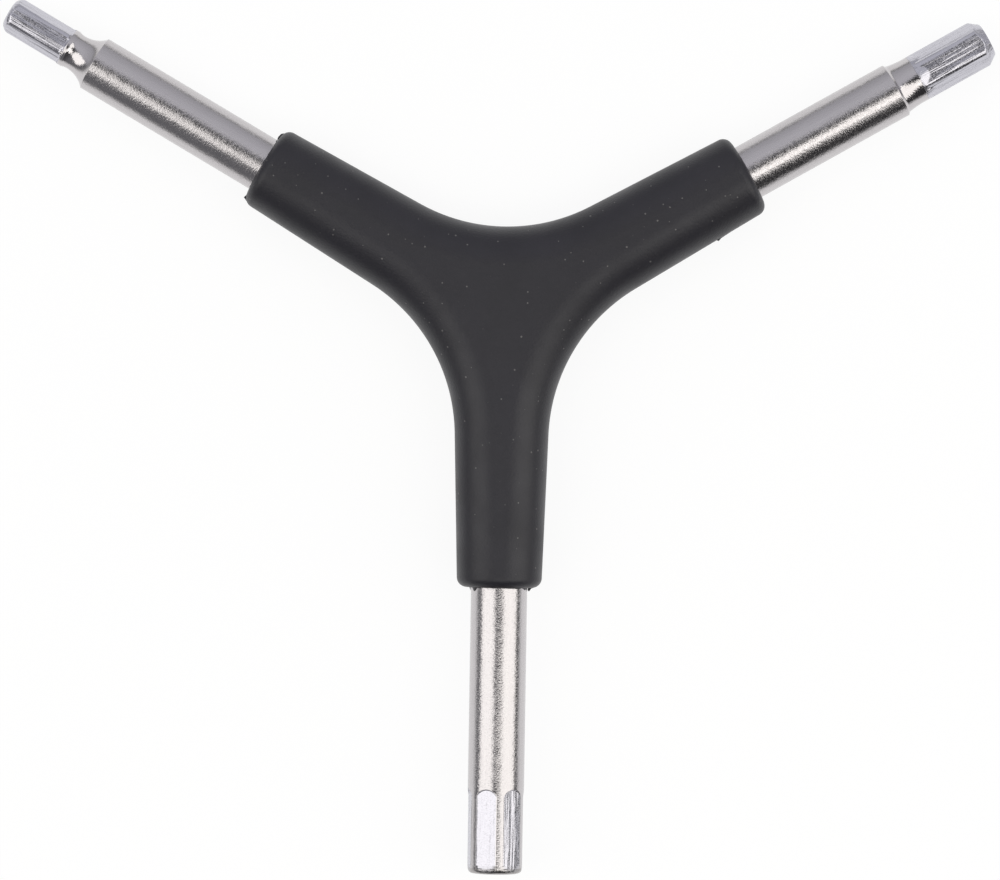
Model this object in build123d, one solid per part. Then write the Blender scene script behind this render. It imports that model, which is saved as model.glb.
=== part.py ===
from build123d import *
import math
import os

# Y wrench: three hex keys made from one size of steel bar, with their inner ends mitred and
# welded together, and a rubber grip moulded over the joint. Lengths are in millimetres and
# angles in degrees. The wrench lies flat on the grip's underside, with the origin below the
# point where the three key axes meet, +Z up, and the 6 mm key pointing along -Y.

# Layout: the first key's heading from +X, with the others at equal steps counterclockwise
FIRST_HEADING = 30
KEY_ORDER = (5, 4, 6)

# Bar and weld
BAR_DIAMETER = 6.5
MITRE_GAP = 0.04
WELD_BEAD_DIAMETER = 1.4
WELD_END_GAP = 0.04

# Rubber grip
GRIP_THICKNESS = 9.6
GRIP_REACH = 32.2
GRIP_END_WIDTH = 9.76
GRIP_TAPER_ANGLE = 1.76
GRIP_CROTCH_RADIUS = 20.7
GRIP_EDGE_RADIUS = 4.5
GRIP_END_RADIUS = 1.1
GRIP_BOND_GAP = 0.02

# 4 mm key: turned down to a waisted neck, with a low collar behind a hexagon with round corners
KEY_4_REACH = 66.45
KEY_4_FLATS = 4.0
KEY_4_CORNERS = 4.43
KEY_4_ROLL = 3.0
KEY_4_HEX_LENGTH = 7.85
KEY_4_RUNOUT_LENGTH = 0.32
KEY_4_COLLAR_DIAMETER = 4.54
KEY_4_COLLAR_LENGTH = 0.3
KEY_4_COLLAR_RISE_LENGTH = 0.75
KEY_4_NECK_DIAMETER = 4.25
KEY_4_NECK_ARC_RADIUS = 3.4
KEY_4_SHOULDER_BEVEL = 0.1
KEY_4_NOSE_DIAMETER = 3.0
KEY_4_NOSE_LENGTH = 1.15

# 5 mm key: turned down behind a bevelled shoulder, with a cone where the flats run out
KEY_5_REACH = 63.85
KEY_5_FLATS = 5.0
KEY_5_CORNERS = 5.54
KEY_5_ROLL = 0.0
KEY_5_HEX_LENGTH = 9.25
KEY_5_RUNOUT_LENGTH = 1.4
KEY_5_NECK_LENGTH = 0.45
KEY_5_NECK_ARC_LENGTH = 2.1
KEY_5_SHOULDER_DIAMETER = 5.94
KEY_5_SHOULDER_BEVEL = 0.25
KEY_5_NOSE_DIAMETER = 3.95
KEY_5_NOSE_LENGTH = 1.1

# 6 mm key: six flats milled into the full bar, each with the round end of the cutter
KEY_6_REACH = 65.2
KEY_6_FLATS = 6.0
KEY_6_ROLL = 20.5
KEY_6_FLAT_LENGTH = 9.7
KEY_6_CUTTER_RADIUS = 1.4
KEY_6_NOSE_DIAMETER = 5.0
KEY_6_NOSE_LENGTH = 0.7

# How far a cutting shape runs past what it cuts
OVERRUN = 5.0

SIDES = 6
SIDE_ANGLE = 360 / SIDES
SPACING = 360 / len(KEY_ORDER)
BAR_RADIUS = BAR_DIAMETER / 2


# Placing and shared shapes. A shape is drawn on a level axis along +X, outwards from the
# point where the key axes meet.


def key_heading(i):
    """Heading of the i-th key, counterclockwise."""
    return FIRST_HEADING + i * SPACING


def crotch_heading(i):
    """Heading of the crotch between the i-th key and the next."""
    return key_heading(i) + SPACING / 2


def placed(shape, heading):
    """A shape turned to its heading and lifted to the height of the key axes."""
    return Pos(0, 0, GRIP_THICKNESS / 2) * Rot(0, 0, heading) * shape


def sector(gap, reach):
    """One key's share of the space round the meeting point, held half a gap back from its sides."""
    half_angle = math.radians(SPACING / 2)
    apex = gap / 2 / math.sin(half_angle)
    side = (reach - apex) * math.tan(half_angle)
    triangle = Polyline((apex, 0), (reach, -side), (reach, side), close=True)
    return extrude(make_face(triangle), BAR_DIAMETER, both=True)


def turned(*profile):
    """The solid that a profile makes when it turns about the axis. Its lines run outwards."""
    start = profile[0] @ 0
    end = profile[-1] @ 1
    closing = Polyline(end, (end.X, 0), (start.X, 0), start)
    lines = [edge for line in (*profile, closing) for edge in line.edges()]
    return revolve(make_face(lines), Axis.X)


def hexagon_bar(flats, start, end, roll):
    """A hexagonal bar from start to end, with one flat tilted by roll from level."""
    section = RegularPolygon(flats / 2, SIDES, major_radius=False, rotation=roll + SIDE_ANGLE / 2)
    across = Plane(origin=(start, 0, 0), x_dir=(0, 0, 1), z_dir=(1, 0, 0))
    return extrude(across * section, end - start)


def plain_bars(diameter, reach):
    """Three round bars that run out from the meeting point, joined."""
    bar = Rot(0, 90, 0) * Cylinder(diameter / 2, reach, align=(Align.CENTER, Align.CENTER, Align.MIN))
    return Part() + [placed(bar, key_heading(i)) for i in range(len(KEY_ORDER))]


# Keys


def key_4():
    """The 4 mm key: bar, shoulder, waisted neck, low collar, hexagon with a rounded nose."""
    hex_start = KEY_4_REACH - KEY_4_HEX_LENGTH
    hex_full = hex_start + KEY_4_RUNOUT_LENGTH
    nose_start = KEY_4_REACH - KEY_4_NOSE_LENGTH
    collar_start = hex_start - KEY_4_COLLAR_LENGTH
    neck_end = collar_start - KEY_4_COLLAR_RISE_LENGTH
    neck = KEY_4_NECK_DIAMETER / 2
    collar = KEY_4_COLLAR_DIAMETER / 2
    corner = KEY_4_CORNERS / 2
    shoulder = BAR_RADIUS - KEY_4_SHOULDER_BEVEL
    drop = KEY_4_NECK_ARC_RADIUS - (shoulder - neck)
    shoulder_x = neck_end - math.sqrt(KEY_4_NECK_ARC_RADIUS**2 - drop**2)
    bevel_x = shoulder_x - KEY_4_SHOULDER_BEVEL
    body = turned(
        Polyline((0, BAR_RADIUS), (bevel_x, BAR_RADIUS), (shoulder_x, shoulder)),
        TangentArc((shoulder_x, shoulder), (neck_end, neck), tangent=(-1, 0), tangent_from_first=False),
        TangentArc((neck_end, neck), (collar_start, collar), tangent=(1, 0)),
        Polyline((collar_start, collar), (hex_start, collar), (hex_full, corner), (nose_start, corner)),
        TangentArc((nose_start, corner), (KEY_4_REACH, KEY_4_NOSE_DIAMETER / 2), tangent=(1, 0)),
    )
    inner = turned(
        Polyline((0, BAR_RADIUS), (hex_start, BAR_RADIUS), (hex_start, collar), (hex_full, KEY_4_FLATS / 2))
    )
    hexagon = hexagon_bar(KEY_4_FLATS, collar_start, KEY_4_REACH, KEY_4_ROLL)
    return body & (inner + hexagon)


def key_5():
    """The 5 mm key: bar, bevelled shoulder, short neck, hexagon with a chamfered nose."""
    hex_start = KEY_5_REACH - KEY_5_HEX_LENGTH
    hex_full = hex_start + KEY_5_RUNOUT_LENGTH
    nose_start = KEY_5_REACH - KEY_5_NOSE_LENGTH
    neck_start = hex_start - KEY_5_NECK_LENGTH
    shoulder_x = neck_start - KEY_5_NECK_ARC_LENGTH
    bevel_x = shoulder_x - KEY_5_SHOULDER_BEVEL
    shoulder = KEY_5_SHOULDER_DIAMETER / 2
    corner = KEY_5_CORNERS / 2
    body = turned(
        Polyline((0, BAR_RADIUS), (bevel_x, BAR_RADIUS), (shoulder_x, shoulder)),
        TangentArc((shoulder_x, shoulder), (neck_start, corner), tangent=(-1, 0), tangent_from_first=False),
        Polyline((neck_start, corner), (nose_start, corner), (KEY_5_REACH, KEY_5_NOSE_DIAMETER / 2)),
    )
    inner = turned(
        Polyline((0, BAR_RADIUS), (hex_start, BAR_RADIUS), (hex_start, corner), (hex_full, KEY_5_FLATS / 2))
    )
    hexagon = hexagon_bar(KEY_5_FLATS, neck_start, KEY_5_REACH, KEY_5_ROLL)
    return body & (inner + hexagon)


def key_6():
    """The 6 mm key: the full bar with six milled flats and a rounded nose."""
    nose_start = KEY_6_REACH - KEY_6_NOSE_LENGTH
    key = turned(
        Line((0, BAR_RADIUS), (nose_start, BAR_RADIUS)),
        TangentArc((nose_start, BAR_RADIUS), (KEY_6_REACH, KEY_6_NOSE_DIAMETER / 2), tangent=(1, 0)),
    )
    cut_length = KEY_6_FLAT_LENGTH + OVERRUN
    cut_width = 2 * KEY_6_CUTTER_RADIUS
    outline = SlotOverall(cut_length, cut_width, align=(Align.MIN, Align.CENTER))
    milled = Pos(KEY_6_REACH - KEY_6_FLAT_LENGTH, 0, KEY_6_FLATS / 2) * extrude(outline, BAR_RADIUS)
    return key - [Rot(KEY_6_ROLL + i * SIDE_ANGLE, 0, 0) * milled for i in range(SIDES)]


KEY_MAKERS = {4: key_4, 5: key_5, 6: key_6}


def mitred_key(i):
    """The i-th key in its place, its inner end cut to fit between its two neighbours."""
    key = KEY_MAKERS[KEY_ORDER[i]]()
    reach = key.bounding_box().max.X + OVERRUN
    return placed(key & sector(MITRE_GAP, reach), key_heading(i))


# Weld


def bead(diameter):
    """A round bead along the seam of two neighbouring bars, whose crotch points along +X."""
    seam_reach = BAR_RADIUS / math.sin(math.radians(SPACING / 2))
    seam = Plane.XZ * EllipticalCenterArc((0, 0), seam_reach, BAR_RADIUS, start_angle=-90, arc_size=180)
    return sweep(Plane(origin=seam @ 0, z_dir=seam % 0) * Circle(diameter / 2), path=seam)


def weld_seam(i):
    """The weld metal in the i-th crotch, down to the surface of both bars."""
    metal = bead(WELD_BEAD_DIAMETER) & sector(WELD_END_GAP, GRIP_REACH)
    return placed(metal, crotch_heading(i)) - plain_bars(BAR_DIAMETER, GRIP_REACH)


# Grip


def grip_outline():
    """The grip from above: three tapered arms, with a round crotch between each two."""
    taper = math.radians(GRIP_TAPER_ANGLE)
    half_angle = math.radians(SPACING / 2)
    end_half = GRIP_END_WIDTH / 2
    # The side lines of two neighbouring arms cross on the crotch's middle line
    crossing = (end_half + GRIP_REACH * math.tan(taper)) / (
        math.sin(half_angle) + math.cos(half_angle) * math.tan(taper)
    )
    side_angle = half_angle + taper
    crotch_bottom = crossing + GRIP_CROTCH_RADIUS * (1 / math.sin(side_angle) - 1)
    tangent_length = GRIP_CROTCH_RADIUS / math.tan(side_angle)
    arc_x = crossing * math.cos(half_angle) + tangent_length * math.cos(taper)
    arc_half = crossing * math.sin(half_angle) - tangent_length * math.sin(taper)
    lines = []
    for i in range(len(KEY_ORDER)):
        right = Vector(arc_x, -arc_half).rotate(Axis.Z, key_heading(i))
        right_end = Vector(GRIP_REACH, -end_half).rotate(Axis.Z, key_heading(i))
        left_end = Vector(GRIP_REACH, end_half).rotate(Axis.Z, key_heading(i))
        left = Vector(arc_x, arc_half).rotate(Axis.Z, key_heading(i))
        bottom = Vector(crotch_bottom, 0).rotate(Axis.Z, crotch_heading(i))
        next_right = Vector(arc_x, -arc_half).rotate(Axis.Z, key_heading(i + 1))
        lines += Polyline(right, right_end, left_end, left).edges()
        lines += [ThreePointArc(left, bottom, next_right)]
    return lines


def end_faces(block):
    """The faces that close the arms, which are the ones furthest out."""
    faces = block.faces().sort_by(lambda face: math.hypot(face.center().X, face.center().Y))
    return faces[-len(KEY_ORDER) :]


def rubber_grip():
    """The grip: a Y-shaped block with round long edges, moulded round the bars and the weld."""
    block = extrude(make_face(grip_outline()), GRIP_THICKNESS)
    rims = block.edges().group_by(Axis.Z)
    block = fillet((rims[0] + rims[-1]) - end_faces(block).edges(), GRIP_EDGE_RADIUS)
    block = fillet(end_faces(block).edges(), GRIP_END_RADIUS)
    block -= plain_bars(BAR_DIAMETER + 2 * GRIP_BOND_GAP, GRIP_REACH + OVERRUN)
    seam = bead(WELD_BEAD_DIAMETER + 2 * GRIP_BOND_GAP)
    return block - [placed(seam, crotch_heading(i)) for i in range(len(KEY_ORDER))]


def all_pieces():
    """Every piece of the wrench, by name."""
    pieces = {"rubber_grip": rubber_grip()}
    for i, size in enumerate(KEY_ORDER):
        smaller, larger = sorted((size, KEY_ORDER[(i + 1) % len(KEY_ORDER)]))
        pieces[f"hex_key_{size}mm"] = mitred_key(i)
        pieces[f"weld_seam_{smaller}_{larger}"] = weld_seam(i)
    return pieces


os.makedirs("parts", exist_ok=True)
for name, shape in all_pieces().items():
    export_step(shape, f"parts/{name}.step")
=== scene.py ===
# %% [markdown]
# # A Y wrench on a white sheet
#
# The tool has three steel keys, for 4, 5 and 6 mm hexagon sockets, and a black rubber grip moulded
# over the place where they meet. The CAD model fixes where every piece sits. This script keeps
# those places and makes the surfaces look as they do in the photograph.
#
# The keys and the grip follow rules (a turned profile with six flats, a rounded bar that blends
# into a hub), so Geometry Nodes build both from a short guide line and a few named sizes.

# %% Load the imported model
import math
import random

import bmesh
import bpy
from mathutils import Matrix, Vector


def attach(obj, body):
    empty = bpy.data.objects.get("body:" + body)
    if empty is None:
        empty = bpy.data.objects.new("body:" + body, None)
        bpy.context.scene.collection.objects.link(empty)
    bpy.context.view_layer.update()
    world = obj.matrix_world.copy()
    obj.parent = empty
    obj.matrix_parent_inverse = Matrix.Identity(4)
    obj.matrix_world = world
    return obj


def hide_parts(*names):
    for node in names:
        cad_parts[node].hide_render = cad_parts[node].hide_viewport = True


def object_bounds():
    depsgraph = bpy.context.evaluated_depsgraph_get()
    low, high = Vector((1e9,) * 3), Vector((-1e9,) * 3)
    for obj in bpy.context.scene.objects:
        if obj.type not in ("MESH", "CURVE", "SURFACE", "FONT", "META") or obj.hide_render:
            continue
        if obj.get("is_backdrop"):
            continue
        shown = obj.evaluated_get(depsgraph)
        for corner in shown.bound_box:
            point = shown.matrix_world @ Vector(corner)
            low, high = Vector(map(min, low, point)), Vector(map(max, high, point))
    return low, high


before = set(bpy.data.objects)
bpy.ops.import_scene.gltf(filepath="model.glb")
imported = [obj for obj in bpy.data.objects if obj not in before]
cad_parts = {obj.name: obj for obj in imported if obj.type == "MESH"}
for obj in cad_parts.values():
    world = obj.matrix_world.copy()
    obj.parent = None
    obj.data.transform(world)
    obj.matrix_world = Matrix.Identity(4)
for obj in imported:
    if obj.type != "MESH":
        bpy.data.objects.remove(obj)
cad_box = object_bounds()
MM = 0.001
print("CAD nodes:", ", ".join(sorted(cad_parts)))

# %% [markdown]
# ## Camera
#
# The photograph looks straight down on the tool, which lies turned by almost one degree and sits
# above the middle of the picture. A long lens from far away keeps the outlines free of perspective.

# %% Camera
PICTURE_WIDTH, PICTURE_HEIGHT = 1000, 880
PIXELS_PER_MM = 8.66
TOOL_CENTRE_X, TOOL_CENTRE_Y = 503.6, 308.4
TOOL_TURN = math.radians(0.92)
AXIS_HEIGHT = 4.8 * MM
LENS_DISTANCE = 640 * MM
SENSOR_WIDTH = 36

view_width = PICTURE_WIDTH / PIXELS_PER_MM * MM
right_of_tool = (PICTURE_WIDTH / 2 - TOOL_CENTRE_X) / PIXELS_PER_MM * MM
above_tool = (TOOL_CENTRE_Y - PICTURE_HEIGHT / 2) / PIXELS_PER_MM * MM
camera_data = bpy.data.cameras.new("overhead_camera")
camera_data.sensor_width = SENSOR_WIDTH
camera_data.lens = SENSOR_WIDTH * LENS_DISTANCE / view_width
camera = bpy.data.objects.new("overhead_camera", camera_data)
camera.location = Matrix.Rotation(TOOL_TURN, 3, "Z") @ Vector((right_of_tool, above_tool, 0))
camera.location.z = AXIS_HEIGHT + LENS_DISTANCE
camera.rotation_euler = (0, 0, TOOL_TURN)
bpy.context.scene.collection.objects.link(camera)
bpy.context.scene.camera = camera
bpy.context.scene.view_settings.view_transform = "Standard"
print(f"camera lens {camera_data.lens:.0f} mm, view {view_width / MM:.1f} mm wide")

# %% [markdown]
# ## Helpers for node trees
#
# Colours are written as the hex codes of an image editor and turned into the linear values that
# Blender works with. One helper adds a node, sets its options and fills or links its sockets.

# %% Node helpers


def linear(hex_colour):
    """The linear colour of an sRGB hex code, with full alpha."""
    values = [int(hex_colour[i : i + 2], 16) / 255 for i in (1, 3, 5)]
    return (*[v / 12.92 if v <= 0.04045 else ((v + 0.055) / 1.055) ** 2.4 for v in values], 1)


def add_node(tree, kind, sockets=None, **options):
    """Adds a node with its options set, and its sockets set to values or linked to other nodes."""
    node = tree.nodes.new(kind)
    for option, value in options.items():
        setattr(node, option, value)
    for socket, value in (sockets or {}).items():
        if isinstance(value, bpy.types.NodeSocket):
            tree.links.new(value, node.inputs[socket])
        else:
            node.inputs[socket].default_value = value
    return node


def empty_material(name):
    """A material with an empty node tree, and that tree."""
    material = bpy.data.materials.new(name)
    material.use_nodes = True
    material.node_tree.nodes.clear()
    return material, material.node_tree


# %% [markdown]
# ## White sheet
#
# The photograph has a pure white ground. The floor is a sheet of opal acrylic that glows for the
# camera and for reflections, so that it reads as white without more light on the tool. The share
# of plain paint in it keeps the tool's soft shadow. Like any lit sheet it looks bright square on
# and dim at a flat angle, and the bars mirror that as a dark line near each edge.

# %% Floor
FLOOR_SIZE = 6.0
FLOOR_HEIGHT = -0.02 * MM  # just clear of the grip's underside, so that no two faces share a place
GLOW_SHARE = 0.86
GLOW_FOR_CAMERA = 1.045  # the paint's share is darker, so the two together come out just under 1
GLOW_SQUARE_ON = 1.03
GLOW_AT_A_FLAT_ANGLE = 0.2

floor_mesh = bpy.data.meshes.new("floor")
half_floor = FLOOR_SIZE / 2
corner_signs = ((-1, -1), (1, -1), (1, 1), (-1, 1))
floor_corners = [(x * half_floor, y * half_floor, FLOOR_HEIGHT) for x, y in corner_signs]
floor_mesh.from_pydata(floor_corners, [], [(0, 1, 2, 3)])
floor = bpy.data.objects.new("floor", floor_mesh)
bpy.context.scene.collection.objects.link(floor)
floor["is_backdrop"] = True

white_sheet, tree = empty_material("opal_acrylic_sheet")
light_path = add_node(tree, "ShaderNodeLightPath")
angle = add_node(tree, "ShaderNodeLayerWeight", {"Blend": 0.5})
mirrored = add_node(
    tree,
    "ShaderNodeMapRange",
    {
        "Value": angle.outputs["Facing"],
        "From Min": 0.67,
        "From Max": 1.0,
        "To Min": GLOW_SQUARE_ON,
        "To Max": GLOW_AT_A_FLAT_ANGLE,
    },
    interpolation_type="SMOOTHSTEP",
)
brightness = add_node(
    tree,
    "ShaderNodeMix",
    {0: light_path.outputs["Is Glossy Ray"], 2: GLOW_FOR_CAMERA, 3: mirrored.outputs[0]},
    data_type="FLOAT",
)
seen = 0.0
for ray in ("Is Camera Ray", "Is Glossy Ray", "Is Transmission Ray"):
    seen = add_node(
        tree,
        "ShaderNodeMath",
        {0: light_path.outputs[ray], 1: GLOW_SHARE, 2: seen},
        operation="MULTIPLY_ADD",
    ).outputs[0]
paint = add_node(tree, "ShaderNodeBsdfDiffuse", {"Color": linear("#EDEDED")})
glow = add_node(tree, "ShaderNodeEmission", {"Color": linear("#FFFFFF"), "Strength": brightness.outputs[0]})
mixed = add_node(tree, "ShaderNodeMixShader", {0: seen, 1: paint.outputs[0], 2: glow.outputs[0]})
add_node(tree, "ShaderNodeOutputMaterial", {"Surface": mixed.outputs[0]})
floor_mesh.materials.append(white_sheet)
print(f"floor: {FLOOR_SIZE:.0f} m square, {white_sheet.name} with {len(tree.nodes)} nodes")

# %% [markdown]
# ## Room
#
# Polished bars show the room more than their own colour. The upper half of every slanted bar is a
# calm light grey and its lower half is nearly black, so the wall above the picture is pale and the
# room below it is dark, a little lighter on the left. Only the camera sees a white backdrop.

# %% Room
room = bpy.data.worlds.new("studio_room")
room.use_nodes = True
tree = room.node_tree
tree.nodes.clear()
direction = add_node(tree, "ShaderNodeTexCoord")
parts = add_node(tree, "ShaderNodeSeparateXYZ", {0: direction.outputs["Generated"]})
dark_side = add_node(
    tree,
    "ShaderNodeMapRange",
    {"Value": parts.outputs["X"], "From Min": -0.5, "From Max": 0.1, "To Min": 0.19, "To Max": 0.04},
)
far_wall = add_node(
    tree,
    "ShaderNodeMapRange",
    {"Value": parts.outputs["Z"], "From Min": 0.1, "From Max": 0.85, "To Min": 0.52, "To Max": 0.7},
)
grey = add_node(
    tree,
    "ShaderNodeMapRange",
    {
        "Value": parts.outputs["Y"],
        "From Min": 0.1,
        "From Max": 0.4,
        "To Min": dark_side.outputs[0],
        "To Max": far_wall.outputs[0],
    },
    interpolation_type="SMOOTHSTEP",
)
light_path = add_node(tree, "ShaderNodeLightPath")
camera_sees = light_path.outputs["Is Camera Ray"]
strength = add_node(tree, "ShaderNodeMix", {0: camera_sees, 2: grey.outputs[0], 3: 1.0}, data_type="FLOAT")
wall_colour = add_node(
    tree, "ShaderNodeMix", {0: camera_sees, 6: linear("#F8F8FF"), 7: linear("#FFFFFF")}, data_type="RGBA"
)
backdrop = add_node(
    tree, "ShaderNodeBackground", {"Color": wall_colour.outputs[2], "Strength": strength.outputs[0]}
)
add_node(tree, "ShaderNodeOutputWorld", {"Surface": backdrop.outputs[0]})
bpy.context.scene.world = room
print(f"{room.name}: {len(tree.nodes)} nodes")

# %% [markdown]
# ## Softboxes
#
# The bottom bar shows two broad white bands with a dark line between them: two large softboxes,
# left and right, with the camera in the gap. The two upper bars show a narrower band on their lower
# side, which comes from the softboxes' near corners and a small third one below the camera. A
# softbox is aimed at the tool from a compass bearing and an angle from straight up, and its
# brightness is the one its cloth has where 1 is white.

# %% Softboxes
LAMP_DISTANCE = 1.5
CLOTH_COLOUR = "#FFFDF8"


def softbox(name, bearing, tilt, front, wide, long, brightness):
    """A rectangular lamp tilted over the tool and shifted to the front, long towards its bearing."""
    lamp = bpy.data.lights.new(name, "AREA")
    lamp.shape = "RECTANGLE"
    lamp.size = long
    lamp.size_y = wide
    lamp.energy = brightness * math.pi * wide * long
    lamp.color = linear(CLOTH_COLOUR)[:3]
    box = bpy.data.objects.new(name, lamp)
    pose = Matrix.Rotation(math.radians(bearing), 4, "Z") @ Matrix.Rotation(math.radians(tilt), 4, "Y")
    box.matrix_world = Matrix.Translation((0, -front, 0)) @ pose @ Matrix.Translation((0, 0, LAMP_DISTANCE))
    box.visible_camera = False
    bpy.context.scene.collection.objects.link(box)
    print(f"{name}: {wide:.2f} by {long:.2f} m, {lamp.energy:.1f} W")


softbox("softbox_left", bearing=180, tilt=43.3, front=0.19, wide=1.17, long=1.67, brightness=1.48)
softbox("softbox_right", bearing=0, tilt=47.8, front=0.24, wide=1.35, long=1.74, brightness=1.62)
softbox("softbox_front", bearing=287, tilt=20.8, front=0.0, wide=0.62, long=0.63, brightness=1.85)

# %% [markdown]
# ## Steel of the keys
#
# The keys are drawn steel bar, turned, pressed or milled at the tips, then barrel-polished and
# plated. The plating is satin, so it blurs reflections a little, and the grit marks of polishing
# make the edge of each reflection sparkle. Drawing leaves faint lines along the bar and a slight
# waviness. The flats keep the marks of the die and a bluish film of passivated zinc, and the noses
# are worn and duller. All patterns read the place in each key's own axes and the finish that its
# guide gives, both of which the key's node tree stores, so they follow the bar.

# %% Steel patterns
# Real grit marks are finer than these, which are the smallest that show.
GRIT_LENGTH, GRIT_WIDTH = 0.13 * MM, 0.24 * MM
DRAW_LINE_LENGTH, DRAW_LINE_WIDTH = 4.0 * MM, 0.12 * MM
DIE_MARK_LENGTH, DIE_MARK_WIDTH = 12.0 * MM, 0.8 * MM
WAVE_SIZE = 2.0 * MM

plated_steel, tree = empty_material("drawn_steel_bar_satin_plated")
place = add_node(tree, "ShaderNodeAttribute", attribute_name="key_place")
finish = add_node(tree, "ShaderNodeAttribute", attribute_name="key_finish")
finish_parts = add_node(tree, "ShaderNodeSeparateXYZ", {0: finish.outputs["Vector"]})
grit_share, flat_share, wear_share = finish_parts.outputs
patterns = {}
for name, along, around, detail in (
    ("grit", GRIT_LENGTH, GRIT_WIDTH, 1.0),
    ("draw_lines", DRAW_LINE_LENGTH, DRAW_LINE_WIDTH, 3.0),
    ("die_marks", DIE_MARK_LENGTH, DIE_MARK_WIDTH, 3.0),
    ("waves", WAVE_SIZE, WAVE_SIZE, 1.0),
):
    stretched = add_node(
        tree,
        "ShaderNodeMapping",
        {"Vector": place.outputs["Vector"], "Scale": (1 / along, 1 / around, 1 / around)},
    )
    patterns[name] = add_node(
        tree, "ShaderNodeTexNoise", {"Vector": stretched.outputs[0], "Scale": 1.0, "Detail": detail}
    ).outputs["Fac"]
print("steel patterns:", ", ".join(patterns))

# %% Steel shader
GRIT_DEPTH = 0.021 * MM
DRAW_LINE_DEPTH = 0.003 * MM
DIE_MARK_DEPTH = 0.2 * MM
WAVE_DEPTH = 0.04 * MM
FILM_DULLING = 0.02
WEAR_DULLING = 0.15

grit_depth = add_node(tree, "ShaderNodeMath", {0: grit_share, 1: GRIT_DEPTH}, operation="MULTIPLY")
die_mark_depth = add_node(tree, "ShaderNodeMath", {0: flat_share, 1: DIE_MARK_DEPTH}, operation="MULTIPLY")
relief = 0.0
for name, depth in (
    ("grit", grit_depth.outputs[0]),
    ("draw_lines", DRAW_LINE_DEPTH),
    ("die_marks", die_mark_depth.outputs[0]),
    ("waves", WAVE_DEPTH),
):
    relief = add_node(
        tree, "ShaderNodeMath", {0: patterns[name], 1: depth, 2: relief}, operation="MULTIPLY_ADD"
    ).outputs[0]
bump = add_node(tree, "ShaderNodeBump", {"Height": relief, "Strength": 1.0, "Distance": 1.0})
roughened = add_node(tree, "ShaderNodeMath", {0: grit_share, 1: flat_share}, operation="MAXIMUM")
rough_grit = add_node(
    tree, "ShaderNodeMath", {0: patterns["grit"], 1: roughened.outputs[0]}, operation="MULTIPLY"
)
roughness = add_node(
    tree,
    "ShaderNodeMapRange",
    {"Value": rough_grit.outputs[0], "From Min": 0.1, "From Max": 0.7, "To Min": 0.06, "To Max": 0.31},
).outputs[0]
for share, dulling in ((flat_share, FILM_DULLING), (wear_share, WEAR_DULLING)):
    roughness = add_node(
        tree, "ShaderNodeMath", {0: share, 1: dulling, 2: roughness}, operation="MULTIPLY_ADD"
    ).outputs[0]
tint = add_node(tree, "ShaderNodeValToRGB", {"Fac": patterns["draw_lines"]})
tint.color_ramp.elements[0].position = 0.3
tint.color_ramp.elements[0].color = linear("#C5C1C3")
tint.color_ramp.elements[1].position = 0.7
tint.color_ramp.elements[1].color = linear("#CAC7C8")
filmed = add_node(
    tree, "ShaderNodeMix", {0: flat_share, 6: tint.outputs["Color"], 7: linear("#CAC9D1")}, data_type="RGBA"
)
worn = add_node(
    tree, "ShaderNodeMix", {0: wear_share, 6: filmed.outputs[2], 7: linear("#7D7A76")}, data_type="RGBA"
)
steel = add_node(
    tree,
    "ShaderNodeBsdfPrincipled",
    {"Base Color": worn.outputs[2], "Metallic": 1.0, "Roughness": roughness, "Normal": bump.outputs[0]},
)
add_node(tree, "ShaderNodeOutputMaterial", {"Surface": steel.outputs[0]})
print(f"{plated_steel.name}: {len(tree.nodes)} nodes")

# %% [markdown]
# ## Rubber of the grip
#
# The grip is injection-moulded black rubber. The mould was spark-eroded, which leaves a fine even
# grain, so the surface is matt and only its edges catch light. The two halves of the mould meet at
# the height of the bars and leave a fine line round the grip. Handling has left faint smudges, and
# a few grains of pale dust stick to it.

# %% Rubber patterns
GRAIN_SIZE = 0.22 * MM  # real mould grain is about half of this, which would vanish in the picture
SMUDGE_SIZE = 6.0 * MM
DUST_SPACING = 0.7 * MM
DUST_UNEVENNESS = 0.06
PARTING_LINE_WIDTH = 0.12 * MM

moulded_rubber, tree = empty_material("injection_moulded_black_rubber")
where = add_node(tree, "ShaderNodeTexCoord")
grain = add_node(
    tree,
    "ShaderNodeTexNoise",
    {"Vector": where.outputs["Object"], "Scale": 1 / GRAIN_SIZE, "Detail": 2.0, "Roughness": 0.6},
)
smudge = add_node(
    tree,
    "ShaderNodeTexNoise",
    {"Vector": where.outputs["Object"], "Scale": 1 / SMUDGE_SIZE, "Detail": 4.0, "Roughness": 0.55},
)
dust = add_node(
    tree, "ShaderNodeTexVoronoi", {"Vector": where.outputs["Object"], "Scale": 1 / DUST_SPACING}
)
chance = add_node(tree, "ShaderNodeSeparateColor", {0: dust.outputs["Color"]})
dust_size = add_node(
    tree,
    "ShaderNodeMapRange",
    {"Value": chance.outputs[0], "From Min": 0.4, "From Max": 1.0, "To Min": 0.0, "To Max": 0.22},
)
uneven = add_node(
    tree,
    "ShaderNodeMath",
    {0: grain.outputs["Fac"], 1: DUST_UNEVENNESS, 2: dust.outputs["Distance"]},
    operation="MULTIPLY_ADD",
)
inside = add_node(
    tree, "ShaderNodeMath", {0: dust_size.outputs[0], 1: uneven.outputs[0]}, operation="SUBTRACT"
)
speck = add_node(
    tree,
    "ShaderNodeMapRange",
    {"Value": inside.outputs[0], "From Min": -0.01, "From Max": 0.06, "To Min": 0.0, "To Max": 0.42},
)
height = add_node(tree, "ShaderNodeSeparateXYZ", {0: where.outputs["Object"]})
from_line = add_node(tree, "ShaderNodeMath", {0: height.outputs["Z"], 1: AXIS_HEIGHT}, operation="SUBTRACT")
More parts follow.
